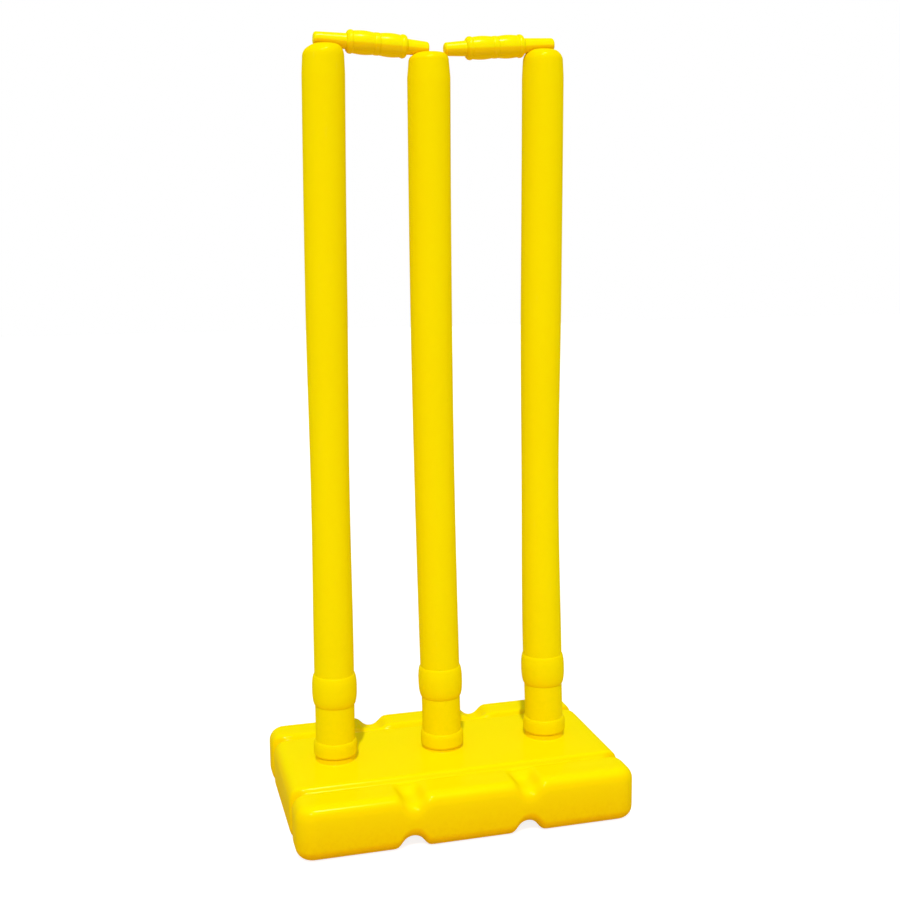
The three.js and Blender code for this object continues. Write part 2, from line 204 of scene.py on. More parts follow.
def mesh_object(name: str, bm: Form, sharp_degrees: float = SHARP_DEGREES) -> Piece:
    """Turns a bmesh into a smooth-shaded object at the origin.

    Args:
        name: The object's name.
        bm: The form, which is freed.
        sharp_degrees: Edges that turn by more than this stay crisp.

    Returns:
        The new object, linked to the scene.
    """
    mesh = bpy.data.meshes.new(name)
    bm.to_mesh(mesh)
    bm.free()
    shade_smooth(mesh, sharp_degrees)
    return linked(name, mesh)


def linked(name: str, data: bpy.types.ID) -> Piece:
    """Makes an object and links it to the scene.

    Args:
        name: The object's name.
        data: Its mesh, lamp or camera.

    Returns:
        The new object.
    """
    made = bpy.data.objects.new(name, data)
    bpy.context.scene.collection.objects.link(made)
    return made


def joined(forms: list[Form]) -> Form:
    """Puts several separate forms into one bmesh.

    Args:
        forms: The forms, which are freed.

    Returns:
        One bmesh that holds them all.
    """
    whole = bmesh.new()
    for form in forms:
        scrap = bpy.data.meshes.new("scrap")
        form.to_mesh(scrap)
        form.free()
        whole.from_mesh(scrap)
        bpy.data.meshes.remove(scrap)
    return whole


def combine(target: Piece, form: Form, operation: str) -> None:
    """Adds a form to an object or cuts it away, in the object's own mesh.

    Args:
        target: The object that changes.
        form: The form to add or to cut with, which is freed.
        operation: UNION or DIFFERENCE.
    """
    tool = mesh_object(target.name + "_tool", form)
    modifier = target.modifiers.new(operation.lower(), "BOOLEAN")
    modifier.operation = operation
    modifier.solver = "MANIFOLD"
    modifier.object = tool
    settled = target.evaluated_get(bpy.context.evaluated_depsgraph_get())
    mesh = bpy.data.meshes.new_from_object(settled)
    target.modifiers.clear()
    spent = (target.data, tool.data)
    target.data = mesh
    bpy.data.objects.remove(tool)
    for old in spent:
        bpy.data.meshes.remove(old)
    shade_smooth(mesh, SHARP_DEGREES)


# Finishes


class Nodes:
    """A node tree, with short ways to add shader nodes to it and to join them."""

    def __init__(self, tree: Tree) -> None:
        """Keeps the tree."""
        self.tree = tree

    def feed(self, node: bpy.types.Node, values: dict[str | int, Feed]) -> bpy.types.Node:
        """Fills inputs of a node with numbers, colours or links.

        Args:
            node: The node.
            values: What goes into each input, by its label or its place.

        Returns:
            The node.
        """
        for label, value in values.items():
            if isinstance(value, Socket):
                self.tree.links.new(value, node.inputs[label])
            else:
                node.inputs[label].default_value = value
        return node

    def add(self, kind: str, values: dict[str | int, Feed], **settings: object) -> bpy.types.Node:
        """Adds a shader node.

        Args:
            kind: The end of its type's name.
            values: What goes into each input.
            settings: What its own options are set to.

        Returns:
            The node.
        """
        node = self.tree.nodes.new("ShaderNode" + kind)
        for name, value in settings.items():
            setattr(node, name, value)
        return self.feed(node, values)

    def math(self, operation: str, *values: Feed) -> Socket:
        """Adds a math node on some values and returns its result's socket."""
        return self.add("Math", dict(enumerate(values)), operation=operation).outputs[0]

    def mix(self, mask: Feed, first: Feed, second: Feed) -> Socket:
        """Mixes two colours by a mask.

        Args:
            mask: Where the second colour shows.
            first: The colour, or its socket, where the mask is 0.
            second: The colour where it is 1.

        Returns:
            The mixed colour's socket.
        """
        colours = [(*value, 1.0) if isinstance(value, tuple) else value for value in (first, second)]
        values = {"Factor": mask, "A": colours[0], "B": colours[1]}
        return self.add("Mix", values, data_type="RGBA").outputs["Result"]

    def noise(self, place: Feed, scale: float, detail: float, roughness: float = 0.5) -> Socket:
        """Adds a noise texture, its scale in features per metre and its detail in octaves."""
        values = {"Vector": place, "Scale": scale, "Detail": detail, "Roughness": roughness}
        return self.add("TexNoise", values).outputs["Fac"]

    def ramp(self, value: Feed, low: Feed, high: Feed) -> Socket:
        """Stretches a value smoothly, so that low becomes 0 and high becomes 1."""
        values = {"Value": value, "From Min": low, "From Max": high}
        return self.add("MapRange", values, interpolation_type="SMOOTHSTEP").outputs["Result"]

    def seen(self) -> Socket:
        """Tells the rays apart that show the surroundings.

        Returns:
            A socket that is 1 for camera, glossy and transmission rays.
        """
        path = self.add("LightPath", {}).outputs
        either = self.math("MAXIMUM", path["Is Camera Ray"], path["Is Glossy Ray"])
        return self.math("MAXIMUM", either, path["Is Transmission Ray"])


class EffectGroups:
    """Shader node groups that several finishes share, each built once."""

    def __init__(self) -> None:
        """Builds the groups."""
        self.mottle = self._mottle()
        self.skin = self._skin()
        self.wear_and_shade = self._wear_and_shade()
        self.light_and_shade = self._light_and_shade()

    @staticmethod
    def _new(name: str, inputs: dict[str, float], outputs: tuple[str, ...]) -> Nodes:
        """Makes an empty group with its sockets.

        Args:
            name: The group's name.
            inputs: Name and default of each number that goes in, beside the vector.
            outputs: Name of each value that comes out.

        Returns:
            The group's tree, with an input node named In and an output node named Out.
        """
        group = bpy.data.node_groups.new(name, "ShaderNodeTree")
        group.interface.new_socket("Vector", in_out="INPUT", socket_type="NodeSocketVector")
        for label, default in inputs.items():
            socket = group.interface.new_socket(label, in_out="INPUT", socket_type="NodeSocketFloat")
            socket.default_value = default
        for label in outputs:
            group.interface.new_socket(label, in_out="OUTPUT", socket_type="NodeSocketFloat")
        group.nodes.new("NodeGroupInput").name = "In"
        group.nodes.new("NodeGroupOutput").name = "Out"
        return Nodes(group)

    def _mottle(self) -> Tree:
        """Cloudy depth of colour where the moulded wall is thicker or thinner.

        Returns:
            The group, which puts out a mask.
        """
        nodes = self._new("wall_mottle", {"Amount": 1.0}, ("Mask",))
        given = nodes.tree.nodes["In"].outputs
        broad = nodes.ramp(nodes.noise(given["Vector"], scale=14.0, detail=3.0), 0.3, 0.72)
        fine = nodes.noise(given["Vector"], scale=95.0, detail=4.0, roughness=0.6)
        fine = nodes.math("MULTIPLY", nodes.ramp(fine, 0.3, 0.75), 0.35)
        both = nodes.math("ADD", nodes.math("MULTIPLY", broad, 0.65), fine)
        scaled = nodes.math("MULTIPLY", both, given["Amount"])
        nodes.feed(nodes.tree.nodes["Out"], {"Mask": scaled})
        return nodes.tree

    def _skin(self) -> Tree:
        """Relief of a moulded skin: slow ripples, orange peel and a fine grain.

        Returns:
            The group, which puts out a height in metres and a gloss mask.
        """
        depths = {"Ripple": 0.00004, "Peel": 0.000008, "Grain": 0.000002}
        nodes = self._new("moulded_skin", depths, ("Height", "Dull"))
        given = nodes.tree.nodes["In"].outputs
        ripple = nodes.noise(given["Vector"], scale=26.0, detail=2.0)
        peel = nodes.noise(given["Vector"], scale=420.0, detail=2.0, roughness=0.4)
        grain = nodes.noise(given["Vector"], scale=2600.0, detail=2.0, roughness=0.6)
        total = nodes.math("MULTIPLY", ripple, given["Ripple"])
        for value, label in ((peel, "Peel"), (grain, "Grain")):
            total = nodes.math("ADD", nodes.math("MULTIPLY", value, given[label]), total)
        cloud = nodes.noise(given["Vector"], scale=38.0, detail=5.0, roughness=0.62)
        nodes.feed(nodes.tree.nodes["Out"], {"Height": total, "Dull": nodes.ramp(cloud, 0.32, 0.7)})
        return nodes.tree

    def _wear_and_shade(self) -> Tree:
        """Faint signs of use with painted shade: thin rubbed streaks, and a dusting with painted shade
        that darkens the skin towards the ground.

        Returns:
            The group, which puts out a rub mask and a mask of dusting and painted shade.
        """
        amounts = {"Rub": 0.5, "Dust And Shade": 0.5, "Dust And Shade Height": 0.02}
        nodes = self._new("wear_dust_and_painted_shade", amounts, ("Rub", "Dust And Shade"))
        given = nodes.tree.nodes["In"].outputs
        slant = {"Vector": given["Vector"], "Scale": (1.0, 1.0, 0.16), "Rotation": (0.35, 0.2, 0.0)}
        stretched = nodes.add("Mapping", slant).outputs["Vector"]
        streak = nodes.noise(stretched, scale=330.0, detail=3.0, roughness=0.7)
        where = nodes.noise(given["Vector"], scale=21.0, detail=2.0)
        rub = nodes.math("MULTIPLY", nodes.ramp(streak, 0.6, 0.72), nodes.ramp(where, 0.5, 0.68))
        rub = nodes.math("MULTIPLY", rub, given["Rub"])
        place = nodes.add("SeparateXYZ", {"Vector": given["Vector"]})
        # Dusting and painted shade: the skin darkens towards the ground, up to the given height.
        low = nodes.math("DIVIDE", place.outputs["Z"], given["Dust And Shade Height"])
        speck = nodes.noise(given["Vector"], scale=210.0, detail=4.0, roughness=0.7)
        cover = nodes.math("MULTIPLY_ADD", nodes.ramp(speck, 0.42, 0.66), 0.3, 0.7)
        dust_and_shade = nodes.math("MULTIPLY", nodes.ramp(low, 1.0, 0.0), cover)
        dust_and_shade = nodes.math("MULTIPLY", dust_and_shade, given["Dust And Shade"])
        nodes.feed(nodes.tree.nodes["Out"], {"Rub": rub, "Dust And Shade": dust_and_shade})
        return nodes.tree

    def _light_and_shade(self) -> Tree:
        """Painted light and shade by which way the skin faces: skin facing up is painted lighter and
        undersides are painted deeper, as shade.

        Returns:
            The group, which reads a normal and puts out a mask for each.
        """
        limits = {"Start": 0.05, "Full": 1.0, "Shade": 0.08, "Deep": -0.4}
        nodes = self._new("painted_light_and_shade", limits, ("Top", "Painted Shade"))
        given = nodes.tree.nodes["In"].outputs
        # Painted light on skin facing up and painted shade on skin facing down, by the normal's height.
        up = nodes.add("SeparateXYZ", {"Vector": given["Vector"]}).outputs["Z"]
        top = nodes.ramp(up, given["Start"], given["Full"])
        under = nodes.ramp(up, given["Shade"], given["Deep"])
        nodes.feed(nodes.tree.nodes["Out"], {"Top": top, "Painted Shade": under})
        return nodes.tree


@dataclass(frozen=True)
class Plastic:
    """A moulded yellow polyethylene.

    Colours are linear. The deep colour shows where the wall is thick and the worn one
    in rubbed streaks. The colour near the ground is dusting and painted shade, darker
    towards the bottom. The colour for tops is painted light on skin that faces up, and
    the under colour is painted shade on the undersides.
    """

    name: str
    colour: Triple
    deep: Triple
    # Painted light: the colour that skin facing up is lightened to; the under colour below is painted
    # shade on the undersides.
    painted_light_colour: Triple
    under: Triple
    worn: Triple = (1.0, 0.76, 0.05)
    # Colour of dusting and painted shade, darker towards the ground.
    dust_and_shade_colour: Triple = (0.76, 0.4, 0.0)
    # Normal heights where the painted light and the painted shade start and are full.
    painted_light_start: float = 0.05
    painted_light_full: float = 1.0
    shade_start: float = 0.08
    shade_full: float = -0.4
    smooth: float = 0.3
    dull: float = 0.42
    rub_dulling: float = 0.25
    mottle: float = 0.6
    ripple: float = 0.00004
    peel: float = 0.000008
    rub: float = 0.3
    # How much dusting and painted shade darken the skin, and how high up from the ground they reach.
    dust_and_shade: float = 0.25
    dust_and_shade_height: float = 0.045
    glow: float = 0.12
    glow_colour: Triple = (1.0, 0.6, 0.1)
    glow_reach: float = 0.0025
    pearl: float = 0.015
    coat: float = 0.014
    coat_roughness: float = 0.13

    def material(self, groups: EffectGroups) -> bpy.types.Material:
        """Builds the node material.

        Args:
            groups: The shared effects.

        Returns:
            The new material.
        """
        made = bpy.data.materials.new(self.name)
        made.use_nodes = True
        nodes = Nodes(made.node_tree)
        where = nodes.add("TexCoord", {}).outputs
        place = {"Vector": where["Object"]}
        wear_dust_shade = {"Rub": self.rub, "Dust And Shade": self.dust_and_shade, "Dust And Shade Height": self.dust_and_shade_height}
        relief = {"Ripple": self.ripple, "Peel": self.peel}
        painted_light_limits = {"Start": self.painted_light_start, "Full": self.painted_light_full}
        shade = {"Shade": self.shade_start, "Deep": self.shade_full}
        mottle, skin, wear_and_shade_marks, light_and_shade_masks = (
            nodes.add("Group", values, node_tree=tree).outputs
            for tree, values in (
                (groups.mottle, place | {"Amount": self.mottle}),
                (groups.skin, place | relief),
                (groups.wear_and_shade, place | wear_dust_shade),
                (groups.light_and_shade, {"Vector": where["Normal"]} | painted_light_limits | shade),
            )
        )

        # The colour takes the wall's tone, painted light on skin facing up, painted shade on the
        # undersides, rubbed streaks, and dusting with painted shade towards the ground.
        colour = self.colour
        for mask, over in (
            (mottle["Mask"], self.deep),
            (light_and_shade_masks["Top"], self.painted_light_colour),
            (light_and_shade_masks["Painted Shade"], self.under),
            (wear_and_shade_marks["Rub"], self.worn),
            (wear_and_shade_marks["Dust And Shade"], self.dust_and_shade_colour),
        ):
            colour = nodes.mix(mask, colour, over)
        span = {"Value": skin["Dull"], "To Min": self.smooth, "To Max": self.dull}
        gloss = nodes.add("MapRange", span).outputs["Result"]
        bump = nodes.add("Bump", {"Strength": 1.0, "Distance": 1.0, "Height": skin["Height"]})
        nodes.feed(
            made.node_tree.nodes["Principled BSDF"],
            {
                "Base Color": colour,
                "Roughness": nodes.math("MULTIPLY_ADD", wear_and_shade_marks["Rub"], self.rub_dulling, gloss),
                "Normal": bump.outputs["Normal"],
                "IOR": 1.51,
                "Specular IOR Level": 0.0,
                "Metallic": self.pearl,
                "Subsurface Weight": self.glow,
                "Subsurface Radius": self.glow_colour,
                "Subsurface Scale": self.glow_reach,
                "Coat Weight": self.coat,
                "Coat Roughness": self.coat_roughness,
                "Coat IOR": 2.0,
            },
        )
        return made


# Each finish sets painted light for skin facing up, painted shade for the undersides, and dusting with
# painted shade near the ground.
BASE_FINISH = Plastic(
    name="base_polyethylene",
    colour=(0.935, 0.65, 0.0),
    deep=(0.92, 0.62, 0.0),
    painted_light_colour=(0.98, 0.81, 0.0),
    under=(0.97, 0.5, 0.0),
    painted_light_start=0.36,
    dust_and_shade=0.6,
)
STUMP_FINISH = Plastic(
    name="stump_polyethylene",
    colour=(0.985, 0.75, 0.0),
    deep=(0.97, 0.72, 0.0),
    painted_light_colour=(0.98, 0.77, 0.0),
    under=(0.98, 0.6, 0.0),
    dust_and_shade_colour=(0.8, 0.63, 0.0),
    dust_and_shade=0.6,
    # The stump's dusting and painted shade reach 0.3 m up, darker towards the bottom.
    dust_and_shade_height=0.3,
    coat=0.008,
)
BAIL_FINISH = Plastic(
    name="bail_polyethylene",
    colour=(1.0, 0.75, 0.0),
    deep=(0.99, 0.72, 0.0),
    painted_light_colour=(0.98, 0.83, 0.0),
    under=(1.0, 0.59, 0.0),
    # The bail's painted light and painted shade meet sharply just below its middle.
    painted_light_start=-0.28,
    painted_light_full=0.1,
    shade_start=-0.02,
    shade_full=-0.24,
    dust_and_shade=0.0,
    coat=0.03,
    coat_roughness=0.18,
)
PLUG_FINISH = Plastic(
    name="plug_polyethylene",
    colour=(0.97, 0.66, 0.0),
    deep=(0.94, 0.62, 0.0),
    painted_light_colour=(0.96, 0.75, 0.0),
    under=(0.96, 0.52, 0.0),
    smooth=0.4,
    dull=0.52,
)


def dress(piece: Piece, material: bpy.types.Material, node: str) -> None:
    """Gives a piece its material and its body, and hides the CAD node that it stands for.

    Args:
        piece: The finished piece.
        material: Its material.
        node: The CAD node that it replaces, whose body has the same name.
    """
    piece.data.materials.clear()
    piece.data.materials.append(material)
    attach(piece, node)
    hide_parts(node)
    LOG.info("%s stands for %s: %d faces", piece.name, node, len(piece.data.polygons))


# Base


@dataclass
class MouldedBase:
    """The hollow base: a slab with three lobes, two grooves and three sockets."""

    length: float = 0.319
    width: float = 0.210
    height: float = 0.051
    corner: float = 0.016
    edge: float = 0.012
    groove_offset: float = 0.0635
    groove: Flute = Flute(depth=0.0055, floor=0.0044, lip=0.0028)
    end_groove: Flute = Flute(depth=0.0076, floor=0.0055, lip=0.004)
    channel_offset: float = 0.0541
    scoop: Flute = Flute(depth=0.009, floor=0.012, lip=0.008)
    scoop_fade: float = 0.017
    arch: Flute = Flute(depth=0.011, floor=0.0125, lip=0.0055)
    spacing: float = 0.1054
    row_offset: float = -0.0012
    boss_height: float = 0.0056
    middle_drop: float = 0.0022
    boss_radius: float = 0.0187
    boss_wall: float = 0.0027
    boss_fillet: float = 0.0016
    boss_rim: float = 0.0008
    boss_lift: float = 0.00003
    socket_taper: float = 0.0005
    socket_floor: float = 0.007
    recess_radius: float = 0.0136
    recess_depth: float = 0.003
    filler_radius: float = 0.0104
    filler_depth: float = 0.03
    long_cuts: int = 196
    cross_cuts: int = 150
    edge_cuts: int = 14
    side_cuts: int = 13
    round_sides: int = 144
    filler_sides: int = 96
    softening: int = 4
    crowd_centre: float = 0.0617
    crowd_pull: float = 0.0048
    crowd_reach: float = 0.008

    def socket_radius(self) -> float:
        """Radius of a socket at its mouth."""
        return self.boss_radius - self.boss_wall

    def boss_top(self, drop: float) -> float:
        """Height of a boss whose top sits lower by the drop."""
        return self.height + self.boss_height - drop

    def sockets(self) -> list[Pair]:
        """Place along X and drop of each socket, from the left."""
        places = ((-1.0, 0.0), (0.0, self.middle_drop), (1.0, 0.0))
        return [(self.row_offset + side * self.spacing, drop) for side, drop in places]

    def end(self, y: float) -> float:
        """Half the base's length at y, less the end grooves."""
        return self.length / 2 - self.end_groove.sunk(abs(y) - self.groove_offset)

    def half_length(self, y: float) -> float:
        """Half the base's length at y, less the end grooves and the rounded corners."""
        past = abs(y) - (self.width / 2 - self.corner)
        return self.end(y) - edge_fall(self.corner - past, self.corner)

    def inside_by(self, x: float, y: float) -> float:
        """Distance inside the outline seen from above.

        Args:
            x: Place along the base.
            y: Place across the base.

        Returns:
            The distance, zero on the outline.
        """
        past = abs(y) - (self.width / 2 - self.corner)
        beyond = abs(x) - (self.end(y) - self.corner)
        if past > 0 and beyond > 0:
            return self.corner - math.hypot(past, beyond)
        return self.corner - max(past, beyond)

    def fall(self, x: float, y: float) -> float:
        """How far either skin lies inside its flat face, at the rounded edge and in a groove."""
        return edge_fall(self.inside_by(x, y), self.edge) + self.groove.sunk(abs(y) - self.groove_offset)

    def top(self, x: float, y: float) -> float:
        """Height of the upper skin at a place, with the scoops between the lobes."""
        run = smooth_step(abs(y), self.groove_offset, self.groove_offset + self.scoop_fade)
        return self.height - self.fall(x, y) - run * self.scoop.sunk(abs(x) - self.channel_offset)

    def bottom(self, x: float, y: float) -> float:
        """Height of the underside at a place, with the arches between the lobes."""
        return self.fall(x, y) + self.arch.sunk(abs(x) - self.channel_offset)

    def spread(self, share: float, half: float, cuts: int) -> float:
        """Maps a grid share to a place, closing up over the rounded edge.

        Args:
            share: Place on the grid, from -1 to 1.
            half: Half the size there.
            cuts: How many cuts the grid has in this direction.

        Returns:
            The place in metres.
        """
        edge_share = 2.0 * self.edge_cuts / cuts
        across = abs(share)
        if across <= 1.0 - edge_share:
            place = across / (1.0 - edge_share) * (half - self.edge)
        else:
            turn = (1.0 - across) / edge_share
            place = half - self.edge * (1.0 - math.cos(math.pi / 2 * turn))
        return math.copysign(place, share)

    def crowded(self, y: float) -> float:
        """Moves a place across the base so that the cuts crowd at the grooves.

        Args:
            y: Place across the base on even cuts.

        Returns:
            The place on crowded cuts, unchanged past the rounded edge's start.
        """
        flat = self.width / 2 - self.edge
        if abs(y) >= flat:
            return y
        moved = []
        for place in (y, flat):
            centres = (-self.crowd_centre, self.crowd_centre)
            pull = sum(math.tanh((place + centre) / self.crowd_reach) for centre in centres)
            moved.append(place - self.crowd_pull * pull)
        return moved[0] * flat / moved[1]

    def sheet(self, height: Callable[[float, float], float]) -> Form:
        """Lays a grid over the outline at the height of one skin.

        Args:
            height: The skin's height at a place.

        Returns:
            The skin as an open sheet.
        """
        bm = bmesh.new()
        bmesh.ops.create_grid(bm, x_segments=self.long_cuts, y_segments=self.cross_cuts, size=1.0)
        for vert in bm.verts:
            y = self.crowded(self.spread(vert.co.y, self.width / 2, self.cross_cuts))
            x = self.spread(vert.co.x, self.half_length(y), self.long_cuts)
            vert.co = (x, y, height(x, y))
        return bm

    def skin(self) -> Form:
        """Joins the upper skin and the underside with the side walls.

        Returns:
            The closed outer form, softened as a blown moulding is.
        """
        bm = joined([self.sheet(self.top), self.sheet(self.bottom)])
        rims = [edge for edge in bm.edges if edge.is_boundary]
        walls = bmesh.ops.bridge_loops(bm, edges=rims)
        uprights = []
        for edge in walls["edges"]:
            if abs(edge.verts[0].co.z - edge.verts[1].co.z) > self.edge / 4:
                uprights.append(edge)
        bmesh.ops.subdivide_edges(bm, edges=uprights, cuts=self.side_cuts, use_grid_fill=True)
        bmesh.ops.recalc_face_normals(bm, faces=bm.faces[:])
        every_way = {"use_axis_x": True, "use_axis_y": True, "use_axis_z": True}
        for _ in range(self.softening):
            bmesh.ops.smooth_vert(bm, verts=bm.verts[:], factor=0.5, **every_way)
        return bm

    def boss(self, x: float, drop: float) -> Form:
        """A raised ring that a stump stands on, before it is bored.

        Args:
            x: Its place along the row.
            drop: How much lower its top is.

        Returns:
            The boss as a solid.
        """
        top = self.boss_top(drop)
        foot = self.boss_radius + self.boss_fillet
        deck = self.height + self.boss_lift
        sunk = self.height - self.edge
        form = Outline([(0.0, sunk)]).to(foot, sunk).to(foot, deck)
        form.to(self.boss_radius, deck + self.boss_fillet, Way.LEVEL, steps=8)
        form.to(self.boss_radius, top - self.boss_rim)
        form.to(self.boss_radius - self.boss_rim, top, Way.STEEP, steps=6)
        return form.to(0.0, top).turned(self.round_sides, Matrix.Translation((x, 0.0, 0.0)))

    def bore(self, x: float, drop: float) -> Form:
        """The tapered hole of a socket.

        Args:
            x: Its place along the row.
            drop: How much lower its mouth is.

        Returns:
            The hole as a solid.
        """
        wide = self.socket_radius()
        rim = self.boss_top(drop) + self.boss_rim / 2
        form = Outline([(0.0, self.socket_floor)]).to(wide - self.socket_taper, self.socket_floor)
        form.to(wide, self.boss_top(drop) - self.boss_rim / 2, steps=12)
        form.to(wide + self.boss_rim, rim).to(0.0, rim)
        return form.turned(self.round_sides, Matrix.Translation((x, 0.0, 0.0)))

    def filler(self) -> Form:
        """The recess and hole in the back wall that the plug closes.

        Returns:
            The recess and hole as one solid.
        """
        form = Outline([(0.0, -self.edge)]).to(self.recess_radius, -self.edge)
        form.to(self.recess_radius, self.recess_depth).to(self.filler_radius, self.recess_depth)
        form.to(self.filler_radius, self.filler_depth).to(0.0, self.filler_depth)
        place = Matrix.Translation((0.0, self.width / 2, self.height / 2))
        return form.turned(self.filler_sides, place @ Matrix.Rotation(math.pi / 2, 4, "X"))

    def build(self) -> Piece:
        """Makes the finished base.

        Returns:
            The base as one object.
        """
        base = mesh_object("base_moulding", self.skin())
        combine(base, joined([self.boss(x, drop) for x, drop in self.sockets()]), "UNION")
        cutters = [self.bore(x, drop) for x, drop in self.sockets()]
        combine(base, joined([*cutters, self.filler()]), "DIFFERENCE")
        return base


# Stumps


@dataclass(frozen=True)
class StumpShape:
    """How one stump differs: lean in degrees, bow and sway along X, girth, crown and bail seat."""

    lean: float
    bow: float
    sway: float
    waist: float
    top_radius: float
    foot_radius: float
    shift: float
    drop: float
    dome_height: float
    dome_radius: float
    crown_radius: float
    seat_depth: float

    def seat_reach(self) -> float:
        """How far from the axis the floor of the seat meets the dome."""
        left = 1.0 - min(self.seat_depth / self.dome_height, 1.0)
        return self.crown_radius + (self.dome_radius - self.crown_radius) * math.sqrt(1.0 - left**2)


@dataclass
class Stump:
    """One hollow stump with its collars, spigot, dome and bail seat."""

    name: str
    x: float
    boss_top: float
    shape: StumpShape
    length: float = 0.6544
    spigot: float = 0.0459
    socket_radius: float = 0.016
    socket_taper: float = 0.0005
    boss_radius: float = 0.0187
    wall: float = 0.0022
    waist_height: float = 0.254
    waist_reach: float = 0.170
    seat_radius: float = 0.0071
    seat_lip: float = 0.0024
    dome_taper: float = 0.014
    crown_thickness: float = 0.003
    chamfer: float = 0.0015
    bead_radius: float = 0.0207
    bead_height: float = 0.0146
    bead_under: float = 0.0026
    bead_shoulder: float = 0.0056
    neck_radius: float = 0.0186
    neck_height: float = 0.0346
    bulge_radius: float = 0.0212
    bulge_tuck: float = 0.0145
    bulge_band: float = 0.003
    bulge_shoulder: float = 0.0127
    seat_rounding: float = 0.0009
    sides: int = 192
    body_steps: int = 90
    bore_steps: int = 16
    dome_steps: int = 56

    def body_radius(self, height: float, low: float, high: float) -> float:
        """Radius of the long body, with its taper and shallow waist.

        Args:
            height: Height above the boss.
            low: Where the body starts.
            high: Where it ends.

        Returns:
            The outer radius there.
        """
        share = (height - low) / (high - low)
        foot, top = self.shape.foot_radius, self.shape.top_radius
        straight = foot + (top - foot) * share
        away = min(abs(height - self.waist_height) / self.waist_reach, 1.0)
        return straight - self.shape.waist * (1.0 + math.cos(math.pi * away)) / 2

    def outline(self) -> Outline:
        """The whole profile: the bore from its crown down, then the outside up.

        Returns:
            The outline about the stump's own axis, with the boss's top at zero.
        """
        shape = self.shape
        crown = self.length - shape.drop
        inner_crown = crown - shape.seat_depth - self.crown_thickness
        inner_foot = inner_crown - shape.dome_height
        bead_top = SEAT_GAP + self.bead_height
        neck_top = bead_top + self.neck_height
        bulge_top = neck_top + self.bulge_tuck + self.bulge_band + self.bulge_shoulder
        tip = -(self.spigot - TIP_GAP)
        spigot_radius = self.socket_radius - SOCKET_GAP
        tip_radius = spigot_radius - self.socket_taper
        throat = tip_radius - self.wall
        body_end = crown - shape.dome_height - self.dome_taper

        form = Outline([(0.0, inner_crown)]).to(shape.crown_radius, inner_crown, steps=2)
        form.to(shape.dome_radius - self.wall, inner_foot, Way.LEVEL, steps=12)
        for step in range(1, self.bore_steps):
            height = inner_foot + (bulge_top - inner_foot) * step / self.bore_steps
            form.to(self.body_radius(height, bulge_top, inner_foot) - self.wall, height)
        form.to(self.neck_radius - self.wall, bulge_top)
        form.to(self.neck_radius - self.wall, bead_top, steps=4)
        form.to(throat, SEAT_GAP + self.wall, steps=3).to(throat, tip, steps=6)
        form.to(tip_radius - self.chamfer, tip)
        form.to(tip_radius, tip + self.chamfer, Way.LEVEL, steps=6)
        form.to(spigot_radius, SEAT_GAP, steps=8).to(self.boss_radius, SEAT_GAP, steps=3)
        form.to(self.bead_radius, SEAT_GAP + self.bead_under, Way.LEVEL, steps=10)
        form.to(self.bead_radius, bead_top - self.bead_shoulder)
        form.to(self.neck_radius, bead_top, Way.STEEP, steps=12)
        form.to(self.neck_radius, neck_top, steps=8)
        form.to(self.bulge_radius, neck_top + self.bulge_tuck, Way.LEVEL, steps=20)
        form.to(self.bulge_radius, bulge_top - self.bulge_shoulder)
        form.to(shape.foot_radius, bulge_top, Way.STEEP, steps=20)
        for step in range(1, self.body_steps + 1):
            height = bulge_top + (body_end - bulge_top) * step / self.body_steps
            form.to(self.body_radius(height, bulge_top, body_end), height)
        form.to(shape.dome_radius, crown - shape.dome_height)
        form.to(shape.crown_radius, crown, Way.STEEP, self.dome_steps)
        return form.to(0.0, crown, steps=8)

    def cut_seat(self, bm: Form) -> None:
        """Sets the crown to its side and sinks the dome where the bail's seat crosses it.

        Args:
            bm: The turned stump, before it leans.
        """
        shape = self.shape
        crown = self.length - shape.drop
        seat = Flute(shape.seat_depth, self.seat_radius, self.seat_lip)
        for vert in bm.verts:
            height = vert.co.z
            if height < crown - shape.dome_height:
                continue
            risen = (height - crown) / shape.dome_height + 1.0
            vert.co.x += shape.shift * risen**2
            sunk = seat.sunk(vert.co.y)
            vert.co.z = min(height, smooth_min(height, crown - sunk, self.seat_rounding))

    def place(self, bm: Form) -> None:
        """Bows the stump, leans it in its socket and stands it in the row.

        Args:
            bm: The stump about its own axis.
        """
        for vert in bm.verts:
            share = min(max(vert.co.z / self.length, 0.0), 1.0)
            vert.co.x += self.shape.bow * math.sin(math.pi * share)
            vert.co.x += self.shape.sway * math.sin(2.0 * math.pi * share)
        lean = Matrix.Rotation(math.radians(self.shape.lean), 4, "Y")
        stand = Matrix.Translation((self.x, 0.0, self.boss_top))
        bmesh.ops.transform(bm, matrix=stand @ lean, verts=bm.verts[:])

    def build(self) -> Piece:
        """Makes the finished stump.

        Returns:
            The stump as one object.
        """
        bm = self.outline().turned(self.sides)
        self.cut_seat(bm)
        self.place(bm)
        return mesh_object(self.name + "_moulding", bm)

    def crown_x(self) -> float:
        """Where the leaning stump's crown stands along X."""
        return self.x + self.length * math.tan(math.radians(self.shape.lean))

    def seat_height(self) -> float:
        """Height of the seat's floor above the ground."""
        return self.boss_top + self.length - self.shape.drop - self.shape.seat_depth


# Bails


